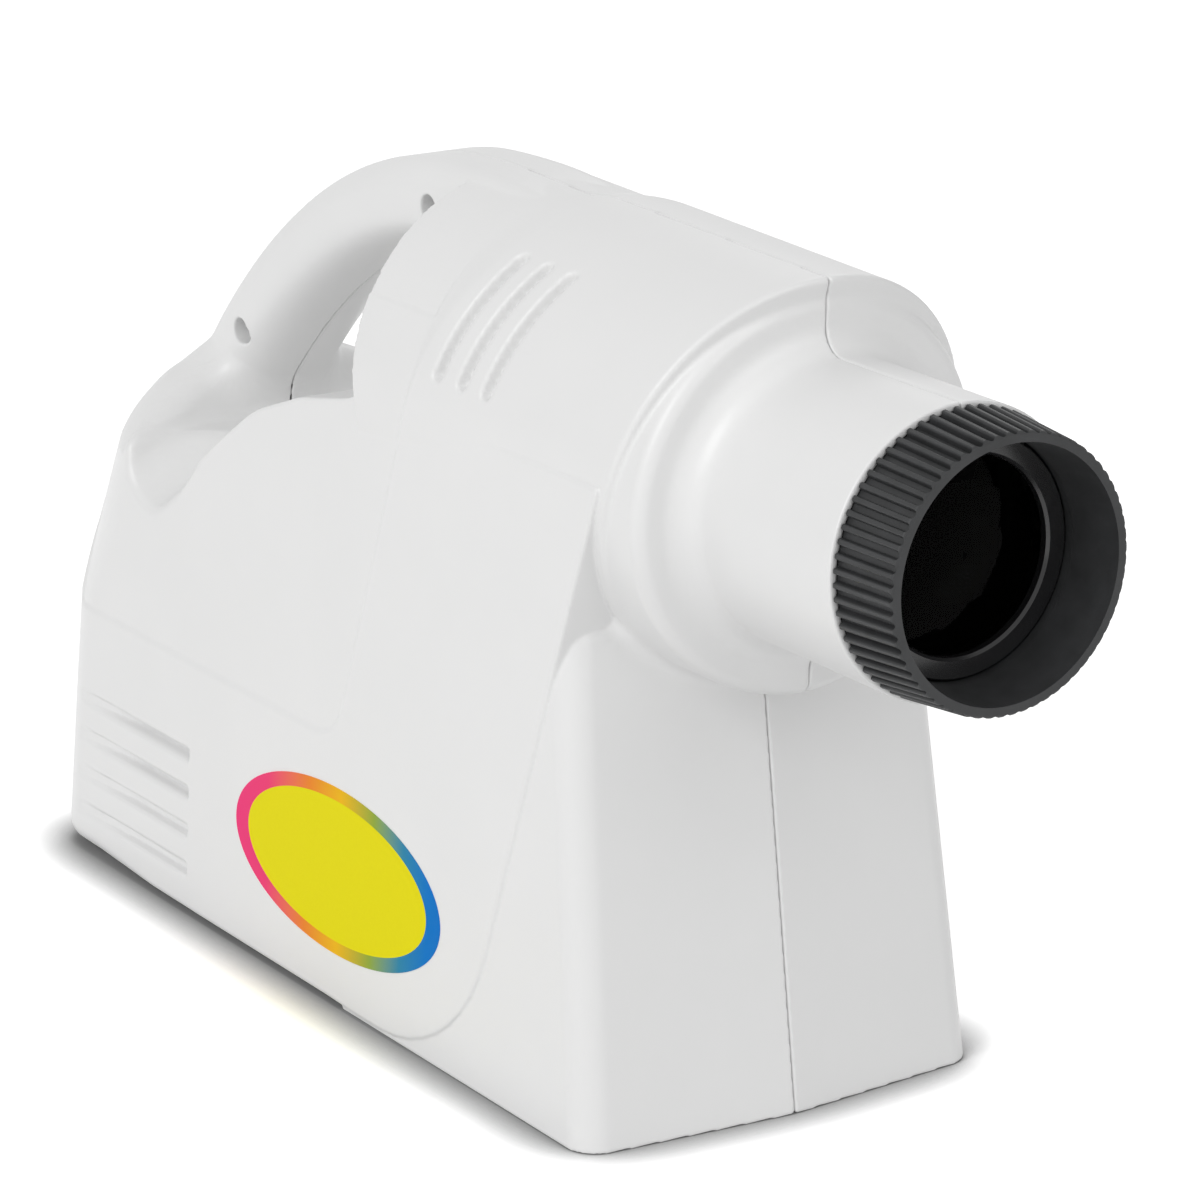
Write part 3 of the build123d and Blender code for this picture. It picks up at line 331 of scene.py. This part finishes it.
def shell_piece(name, side, node):
    """Meshes one shell, thins the mesh and keeps the field's own normals on it."""
    grid, origin = shell_field(side)
    volume = openvdb.FloatGrid(BAND)
    volume.copyFromArray(np.clip(grid, -BAND, BAND))
    points, quads = volume.convertToQuads(isovalue=0.0)
    place = points * H + np.array(origin, np.float32)
    place[:, 1] *= side
    place[:, 0] += MIDDLE
    place *= 0.001
    if side < 0:
        quads = quads[:, ::-1]
    mesh = bpy.data.meshes.new(name)
    mesh.vertices.add(len(place))
    mesh.vertices.foreach_set("co", place.astype(np.float32).ravel())
    mesh.loops.add(quads.size)
    mesh.loops.foreach_set("vertex_index", quads.astype(np.int32).ravel())
    mesh.polygons.add(len(quads))
    mesh.polygons.foreach_set("loop_start", np.arange(0, quads.size, 4, dtype=np.int32))
    mesh.polygons.foreach_set("loop_total", np.full(len(quads), 4, np.int32))
    mesh.update(calc_edges=True)
    mesh.validate()
    piece = bpy.data.objects.new(name, mesh)
    bpy.context.scene.collection.objects.link(piece)
    thin = piece.modifiers.new("thin", "DECIMATE")
    thin.ratio = min(1.0, TRIANGLES / (2.0 * len(quads)))
    done = bpy.data.meshes.new_from_object(
        piece.evaluated_get(bpy.context.evaluated_depsgraph_get()))
    piece.modifiers.clear()
    piece.data = done
    bpy.data.meshes.remove(mesh)
    bm = bmesh.new()
    bm.from_mesh(done)
    bmesh.ops.recalc_face_normals(bm, faces=bm.faces)
    bm.to_mesh(done)
    bm.free()
    co = np.empty(len(done.vertices) * 3, np.float32)
    done.vertices.foreach_get("co", co)
    co = co.reshape(-1, 3).astype(float) * 1000
    co[:, 0] -= MIDDLE
    co[:, 1] *= side
    corners = np.empty(len(done.loops), np.int32)
    done.loops.foreach_get("vertex_index", corners)
    total = np.empty(len(done.polygons), np.int32)
    done.polygons.foreach_get("loop_total", total)
    face = np.repeat(np.arange(len(total)), total)
    centre = np.stack([np.bincount(face, co[corners, a]) / total for a in range(3)], 1)
    inward = centre[face] - co[corners]
    reach = np.linalg.norm(inward, axis=1, keepdims=True)
    spots = co[corners] + inward * np.minimum(0.3, 1.0 / np.maximum(reach, 1e-6))
    index = (spots - np.array(origin)) / H
    normal = np.zeros_like(index)
    for axis in range(3):
        shift = np.zeros(3)
        shift[axis] = 0.8
        normal[:, axis] = sample(grid, index + shift) - sample(grid, index - shift)
    normal[:, 1] *= side
    normal /= np.maximum(np.linalg.norm(normal, axis=1, keepdims=True), 1e-9)
    for facet in done.polygons:
        facet.use_smooth = True
    done.normals_split_custom_set([tuple(n) for n in normal])
    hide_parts(node)
    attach(piece, "housing")
    return piece


# ---------------------------------------------------------------- materials
def material(name, build):
    """New material whose nodes build() sets."""
    mat = bpy.data.materials.new(name)
    mat.use_nodes = True
    tree = mat.node_tree
    shader = tree.nodes["Principled BSDF"]
    build(tree, shader)
    return mat


def add(tree, kind, **values):
    """New node, with its inputs or its own settings given by name."""
    node = tree.nodes.new(kind)
    for key, value in values.items():
        if key in node.inputs:
            node.inputs[key].default_value = value
        else:
            setattr(node, key, value)
    return node


def grain(tree, shader, scale, strength, distance=0.0002, detail=4.0):
    """Fine bump, in object coordinates."""
    place = add(tree, "ShaderNodeTexCoord")
    noise = add(tree, "ShaderNodeTexNoise", Scale=scale, Detail=detail)
    tree.links.new(place.outputs["Object"], noise.inputs["Vector"])
    bump = add(tree, "ShaderNodeBump", Strength=strength, Distance=distance)
    tree.links.new(noise.outputs["Fac"], bump.inputs["Height"])
    tree.links.new(bump.outputs["Normal"], shader.inputs["Normal"])
    return place, noise, bump


def tone(tree, shader, place, low, high, scale):
    """Base colour that wanders between two tones."""
    noise = add(tree, "ShaderNodeTexNoise", Scale=scale, Detail=3.0)
    tree.links.new(place.outputs["Object"], noise.inputs["Vector"])
    ramp = add(tree, "ShaderNodeValToRGB")
    ramp.color_ramp.elements[0].color = (*low, 1)
    ramp.color_ramp.elements[1].color = (*high, 1)
    ramp.color_ramp.elements[0].position = 0.3
    ramp.color_ramp.elements[1].position = 0.7
    tree.links.new(noise.outputs["Fac"], ramp.inputs["Fac"])
    tree.links.new(ramp.outputs["Color"], shader.inputs["Base Color"])


def plain(low, high, rough, metal=0.0, scale=60.0, bump=0.05, bump_scale=900.0, shine=0.5):
    """Opaque plastic, metal, rubber or ceramic."""
    def build(tree, shader):
        shader.inputs["Specular IOR Level"].default_value = shine
        shader.inputs["Roughness"].default_value = rough
        shader.inputs["Metallic"].default_value = metal
        place, _, _ = grain(tree, shader, bump_scale, bump)
        tone(tree, shader, place, low, high, scale)
    return build


def glassy(colour, rough, alpha, ior):
    """Glass, with alpha as its share of transmission."""
    def build(tree, shader):
        shader.inputs["Roughness"].default_value = rough
        shader.inputs["Transmission Weight"].default_value = alpha
        shader.inputs["IOR"].default_value = ior
        place, _, _ = grain(tree, shader, 40, 0.01)
        tone(tree, shader, place, colour, colour, 20)
    return build


WHITE = material("white_plastic", plain((0.825, 0.826, 0.824), (0.84, 0.84, 0.838), 0.36,
                                        scale=25, bump=0.05, bump_scale=1400))
GRIP = material("black_grip", plain((0.031, 0.032, 0.033), (0.043, 0.044, 0.046), 0.48,
                                    scale=120, bump=0.1, bump_scale=1800, shine=0.3))
INNER = material("black_inner", plain((0.010, 0.010, 0.011), (0.018, 0.018, 0.019), 0.6,
                                      scale=90, bump=0.08))
CELL = material("lens_black", plain((0.010, 0.010, 0.011), (0.016, 0.016, 0.017), 0.22,
                                    scale=90, bump=0.02))
STEEL = material("zinc_steel", plain((0.52, 0.52, 0.53), (0.64, 0.64, 0.65), 0.35, 1.0, 300))
ALU = material("sheet_aluminium", plain((0.68, 0.69, 0.70), (0.76, 0.77, 0.78), 0.38, 1.0, 200))
BRASS = material("cap_brass", plain((0.60, 0.46, 0.22), (0.72, 0.58, 0.30), 0.35, 1.0, 150))
CERAMIC = material("ceramic", plain((0.80, 0.78, 0.74), (0.86, 0.84, 0.80), 0.2, 0.0, 40))
RUBBER = material("foot_rubber", plain((0.03, 0.03, 0.03), (0.05, 0.05, 0.05), 0.8, 0.0, 200))
MIRROR = material("mirror_coat", plain((0.88, 0.88, 0.89), (0.9, 0.9, 0.91), 0.03, 1.0, 10, 0.0))
# The lens glass's near-black tint is painted shade: it stands in for the dark inside of the barrel
# behind a clear lens.
GLASS = material("lens_glass", glassy((0.03, 0.03, 0.034), 0.01, 1.0, 1.08))
FROST = material("bulb_glass", glassy((0.95, 0.95, 0.93), 0.5, 0.6, 1.45))

LABEL_MIDDLE = ((-146.2 + MIDDLE) / 1000, 43.5 / 1000)


def label_film(tree, shader):
    """Yellow oval in a border whose colour runs along its length."""
    shader.inputs["Roughness"].default_value = 0.45
    shader.inputs["Specular IOR Level"].default_value = 0.05
    place, noise, _ = grain(tree, shader, 1200, 0.02)
    axes = add(tree, "ShaderNodeSeparateXYZ")
    tree.links.new(place.outputs["Object"], axes.inputs[0])

    def maths(kind, a, b=0.0):
        node = add(tree, "ShaderNodeMath", operation=kind)
        for slot, value in ((0, a), (1, b)):
            if isinstance(value, float):
                node.inputs[slot].default_value = value
            else:
                tree.links.new(value, node.inputs[slot])
        return node.outputs[0]

    u = maths("SUBTRACT", axes.outputs["X"], LABEL_MIDDLE[0])
    v = maths("SUBTRACT", axes.outputs["Z"], LABEL_MIDDLE[1])

    def oval(across, up):
        a = maths("POWER", maths("DIVIDE", u, across), 2.0)
        return maths("ADD", a, maths("POWER", maths("DIVIDE", v, up), 2.0))

    ramp = add(tree, "ShaderNodeValToRGB")
    colours = ((0.0, (0.93, 0.05, 0.22)), (0.16, (0.93, 0.06, 0.20)), (0.36, (0.90, 0.26, 0.03)),
               (0.52, (0.92, 0.52, 0.01)), (0.68, (0.30, 0.42, 0.05)), (0.82, (0.03, 0.25, 0.42)),
               (0.94, (0.0, 0.19, 0.60)), (1.0, (0.0, 0.18, 0.60)))
    for at, colour in colours[1:-1]:
        ramp.color_ramp.elements.new(at).color = (*colour, 1)
    ramp.color_ramp.elements[0].color = (*colours[0][1], 1)
    ramp.color_ramp.elements[-1].color = (*colours[-1][1], 1)
    tree.links.new(maths("ADD", maths("DIVIDE", u, 0.122), 0.5), ramp.inputs["Fac"])

    def mixed(factor, first, second):
        node = add(tree, "ShaderNodeMix", data_type="RGBA")
        tree.links.new(factor, node.inputs[0])
        for slot, value in ((6, first), (7, second)):
            if isinstance(value, tuple):
                node.inputs[slot].default_value = (*value, 1)
            else:
                tree.links.new(value, node.inputs[slot])
        return node.outputs[2]

    yellow = mixed(noise.outputs["Fac"], (0.84, 0.75, 0.002), (0.88, 0.79, 0.004))
    border = maths("GREATER_THAN", oval(0.0532, 0.0222), 1.0)
    tree.links.new(mixed(border, yellow, ramp.outputs["Color"]), shader.inputs["Base Color"])


LABEL = material("label_print", label_film)
LOOKS = {"white_shell": WHITE, "black_grip": GRIP, "black_inner": INNER, "lens_black": CELL,
         "lens_glass": GLASS, "mirror_coat": MIRROR, "sheet_metal": ALU, "bulb_glass": FROST,
         "cap_brass": BRASS, "ceramic": CERAMIC, "steel": STEEL, "foot_rubber": RUBBER,
         "label_film": LABEL}
SLOT_OF = {row["node"]: row["material_slot"] for row in frame["record"]["subparts"]}
for node_name, node_object in NODES.items():
    node_object.data.materials.clear()
    node_object.data.materials.append(LOOKS[SLOT_OF[node_name]])

for shell_name, shell_side, shell_node in (("near_shell", -1, "left_shell"),
                                           ("far_shell", 1, "right_shell")):
    made = shell_piece(shell_name, shell_side, shell_node)
    made.data.materials.append(WHITE)


# ---------------------------------------------------------------- floor, light and camera
def look(obj, at):
    """Turns a lamp to face a point."""
    obj.rotation_euler = (Vector(at) - obj.location).to_track_quat("-Z", "Y").to_euler()


def area(name, place, at, size, power):
    """Soft rectangular lamp; metres and watts."""
    data = bpy.data.lights.new(name, "AREA")
    data.shape = "RECTANGLE"
    data.size, data.size_y = size
    data.energy = power
    lamp = bpy.data.objects.new(name, data)
    lamp.location = place
    bpy.context.scene.collection.objects.link(lamp)
    look(lamp, at)
    return lamp


def camera_ray(tree):
    """1 where the camera, a mirror or a lens looks, 0 where light bounces."""
    path = add(tree, "ShaderNodeLightPath")
    either = add(tree, "ShaderNodeMath", operation="MAXIMUM")
    tree.links.new(path.outputs["Is Camera Ray"], either.inputs[0])
    tree.links.new(path.outputs["Is Glossy Ray"], either.inputs[1])
    any_ray = add(tree, "ShaderNodeMath", operation="MAXIMUM")
    tree.links.new(either.outputs[0], any_ray.inputs[0])
    tree.links.new(path.outputs["Is Transmission Ray"], any_ray.inputs[1])
    return any_ray.outputs[0]


# The floor's contact shadow is painted shade: its colour darkens with closeness to the part, on top
# of the shadows that the lamps throw.
FLOOR_REACH = 0.026       # m, how far the contact shadow spreads
FLOOR_DARK, FLOOR_OPEN = 0.36, 0.96   # openness at the shadow's core and at its edge
FLOOR_CURVE, FLOOR_GAIN, FLOOR_BASE = 2.0, 1.65, 0.25
FLOOR_BOUNCE = (0.80, 0.80, 0.80, 1)


def stage_material():
    """Pale floor with a painted contact shadow, darker close to the part for the camera; it bounces
    light evenly.
    """
    def build(tree, shader):
        tree.nodes.remove(shader)
        # Painted shadow: closeness to the part darkens the colour that the camera sees.
        near = add(tree, "ShaderNodeAmbientOcclusion", Distance=FLOOR_REACH)
        near.samples = 24
        fade = add(tree, "ShaderNodeMapRange")
        fade.inputs["From Min"].default_value = FLOOR_DARK
        fade.inputs["From Max"].default_value = FLOOR_OPEN
        tree.links.new(near.outputs["AO"], fade.inputs["Value"])
        curve = add(tree, "ShaderNodeMath", operation="POWER")
        curve.inputs[1].default_value = FLOOR_CURVE
        tree.links.new(fade.outputs["Result"], curve.inputs[0])
        painted_shadow_tone = add(tree, "ShaderNodeMath", operation="MULTIPLY_ADD")
        painted_shadow_tone.inputs[1].default_value = FLOOR_GAIN
        painted_shadow_tone.inputs[2].default_value = FLOOR_BASE
        tree.links.new(curve.outputs[0], painted_shadow_tone.inputs[0])
        seen = add(tree, "ShaderNodeMix", data_type="RGBA")
        seen.inputs[6].default_value = FLOOR_BOUNCE
        tree.links.new(painted_shadow_tone.outputs[0], seen.inputs[7])
        tree.links.new(camera_ray(tree), seen.inputs[0])
        matt = add(tree, "ShaderNodeBsdfDiffuse")
        tree.links.new(seen.outputs[2], matt.inputs["Color"])
        tree.links.new(matt.outputs[0], tree.nodes["Material Output"].inputs["Surface"])
    return material("stage", build)


bpy.ops.mesh.primitive_plane_add(size=8)
floor = bpy.context.active_object
floor.name = "floor"
floor.data.materials.append(stage_material())

AIM = (0.0, 0.0, 0.12)
area("key", (0.7, -2.2, 1.5), AIM, (1.4, 1.4), 27)
area("front", (2.2, 0.2, 1.3), AIM, (1.2, 1.2), 8)
area("rim", (-1.4, 1.6, 1.8), AIM, (1.2, 1.2), 5)
WORLD_LIGHT, WORLD_SEEN = 0.50, 1.0
world = bpy.data.worlds.new("studio")
world.use_nodes = True
sky = world.node_tree.nodes["Background"]
sky.inputs["Color"].default_value = (1, 1, 1, 1)
strength = add(world.node_tree, "ShaderNodeMix", data_type="FLOAT")
strength.inputs[2].default_value = WORLD_LIGHT
strength.inputs[3].default_value = WORLD_SEEN
world.node_tree.links.new(camera_ray(world.node_tree), strength.inputs[0])
world.node_tree.links.new(strength.outputs[0], sky.inputs["Strength"])
bpy.context.scene.world = world

CAMERA_LENS, CAMERA_SENSOR = 150.0, 36.0      # mm
CAMERA_PLACE = ((1090.6 + MIDDLE) / 1000, -0.7887, 0.5733)
camera_data = bpy.data.cameras.new("camera")
camera_data.lens = CAMERA_LENS
camera_data.sensor_width = CAMERA_SENSOR
camera = bpy.data.objects.new("camera", camera_data)
bpy.context.scene.collection.objects.link(camera)
AZ, EL, ROLL = math.radians(56.592), math.radians(17.230), math.radians(0.337)
back_axis = Vector((math.sin(AZ) * math.cos(EL), -math.cos(AZ) * math.cos(EL), math.sin(EL)))
right_axis = Vector((math.cos(AZ), math.sin(AZ), 0))
up_axis = back_axis.cross(right_axis)
turned = Matrix((right_axis, up_axis, back_axis)).transposed() @ Matrix.Rotation(ROLL, 3, "Z")
camera.matrix_world = Matrix.Translation(CAMERA_PLACE) @ turned.to_4x4()
bpy.context.scene.camera = camera
bpy.context.scene.view_settings.view_transform = "Standard"
